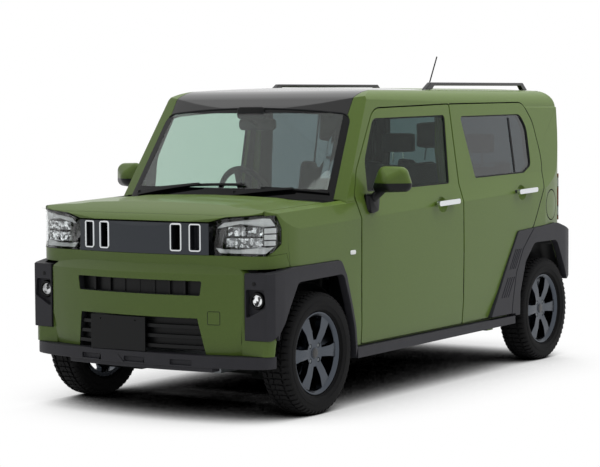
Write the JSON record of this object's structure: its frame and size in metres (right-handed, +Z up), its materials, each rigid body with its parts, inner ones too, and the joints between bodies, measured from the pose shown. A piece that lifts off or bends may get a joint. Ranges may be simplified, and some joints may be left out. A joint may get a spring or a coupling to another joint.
{
  "type": "kei car",
  "caption": "Tall boxy small car with clad wheel arches, opening doors, bonnet, tailgate and fuel flap, steered front wheels and a hollow cabin with seats.",
  "frame": {"origin": "on the ground at the middle of the car's length and width", "axes": "+Z up, +Y to the car's rear, +X to its left side"},
  "size_m": [1.8436, 3.395, 1.7832],
  "materials": {
    "paint": "gloss metallic",
    "glass": "gloss",
    "tyre": "matt",
    "alloy": "satin",
    "cladding": "grained",
    "lamp_clear": "gloss",
    "lamp_red": "gloss",
    "gloss_black": "gloss",
    "grille_grey": "satin metallic",
    "seat_cloth": "woven",
    "trim": "grained",
    "floor_metal": "matt",
    "running_gear": "matt"
  },
  "bodies": {
    "body": {"floor_pan": "floor_metal", "body_sides": "paint", "roof_panel": "paint", "roof_glass": "gloss_black", "windscreen": "glass", "cowl_panel": "cladding", "wipers": "cladding", "front_fenders": "paint", "front_bumper": "paint", "bumper_grille": "cladding", "front_skid": "cladding", "grille_panel": "grille_grey", "front_lamps": "lamp_clear", "body_cladding": "cladding", "wheel_liners": "cladding", "rear_bumper": "paint", "tail_lamps": "lamp_red", "roof_rails": "cladding", "antenna": "cladding", "dashboard": "trim", "front_seats": "seat_cloth", "rear_seat": "seat_cloth", "engine": "running_gear", "front_subframe": "running_gear", "rear_axle": "running_gear", "exhaust": "running_gear", "fuel_tank": "cladding"},
    "bonnet": {"bonnet": "paint"},
    "tailgate": {"tailgate": "paint", "tailgate_glass": "glass"},
    "door_front_left": {"door_front_left": "paint", "glass_front_left": "glass", "mirror_left": "paint"},
    "door_front_right": {"door_front_right": "paint", "glass_front_right": "glass", "mirror_right": "paint"},
    "door_rear_left": {"door_rear_left": "paint", "glass_rear_left": "glass", "arch_door_left": "cladding"},
    "door_rear_right": {"door_rear_right": "paint", "glass_rear_right": "glass", "arch_door_right": "cladding"},
    "fuel_flap": {"fuel_flap": "paint"},
    "steering_wheel": {"steering_wheel": "trim"},
    "knuckle_left": {"knuckle_left": "running_gear"},
    "knuckle_right": {"knuckle_right": "running_gear"},
    "wheel_front_left": {"rim_front_left": "alloy", "tyre_front_left": "tyre"},
    "wheel_front_right": {"rim_front_right": "alloy", "tyre_front_right": "tyre"},
    "wheel_rear_left": {"rim_rear_left": "alloy", "tyre_rear_left": "tyre"},
    "wheel_rear_right": {"rim_rear_right": "alloy", "tyre_rear_right": "tyre"}
  },
  "joints": [
    {"name": "door_front_left_hinge", "type": "hinge", "parent": "body", "child": "door_front_left", "pos_m": [0.713, -0.7275, 0.63], "axis": [0, 0, -1], "range_deg": [0, 68]},
    {"name": "door_rear_left_hinge", "type": "hinge", "parent": "body", "child": "door_rear_left", "pos_m": [0.713, 0.33948, 0.63], "axis": [0, 0, -1], "range_deg": [0, 75]},
    {"name": "door_front_right_hinge", "type": "hinge", "parent": "body", "child": "door_front_right", "pos_m": [-0.713, -0.7275, 0.63], "axis": [0, 0, 1], "range_deg": [0, 68]},
    {"name": "door_rear_right_hinge", "type": "hinge", "parent": "body", "child": "door_rear_right", "pos_m": [-0.713, 0.33948, 0.63], "axis": [0, 0, 1], "range_deg": [0, 75]},
    {"name": "bonnet_hinge", "type": "hinge", "parent": "body", "child": "bonnet", "pos_m": [0, -1.0765, 1.016], "axis": [-1, 0, 0], "range_deg": [0, 50]},
    {"name": "tailgate_hinge", "type": "hinge", "parent": "body", "child": "tailgate", "pos_m": [0, 1.53, 1.554], "axis": [1, 0, 0], "range_deg": [0, 82]},
    {"name": "fuel_flap_hinge", "type": "hinge", "parent": "body", "child": "fuel_flap", "pos_m": [0.72, 1.3275, 0.902], "axis": [0, 0, -1], "range_deg": [0, 80]},
    {"name": "steer_left", "type": "hinge", "parent": "body", "child": "knuckle_left", "pos_m": [0.625, -1.1675, 0.165], "axis": [-0.2334, 0, 0.9724], "range_deg": [-33, 33]},
    {"name": "steer_right", "type": "hinge", "parent": "body", "child": "knuckle_right", "pos_m": [-0.625, -1.1675, 0.165], "axis": [0.2334, 0, 0.9724], "range_deg": [-33, 33]},
    {"name": "steering_wheel_turn", "type": "hinge", "parent": "body", "child": "steering_wheel", "pos_m": [-0.32, -0.2465, 1.005], "axis": [0, 0.9063, 0.4226], "range_deg": [-528, 528]},
    {"name": "wheel_front_left_spin", "type": "hinge", "parent": "knuckle_left", "child": "wheel_front_left", "pos_m": [0.65, -1.1675, 0.2975], "axis": [1, 0, 0], "continuous": true},
    {"name": "wheel_rear_left_spin", "type": "hinge", "parent": "body", "child": "wheel_rear_left", "pos_m": [0.65, 1.2925, 0.2975], "axis": [1, 0, 0], "continuous": true},
    {"name": "wheel_front_right_spin", "type": "hinge", "parent": "knuckle_right", "child": "wheel_front_right", "pos_m": [-0.65, -1.1675, 0.2975], "axis": [1, 0, 0], "continuous": true},
    {"name": "wheel_rear_right_spin", "type": "hinge", "parent": "body", "child": "wheel_rear_right", "pos_m": [-0.65, 1.2925, 0.2975], "axis": [1, 0, 0], "continuous": true}
  ],
  "couplings": [
    {"joint": "steer_right", "follows": "steer_left", "ratio": 1},
    {"joint": "steering_wheel_turn", "follows": "steer_left", "ratio": 16}
  ]
}
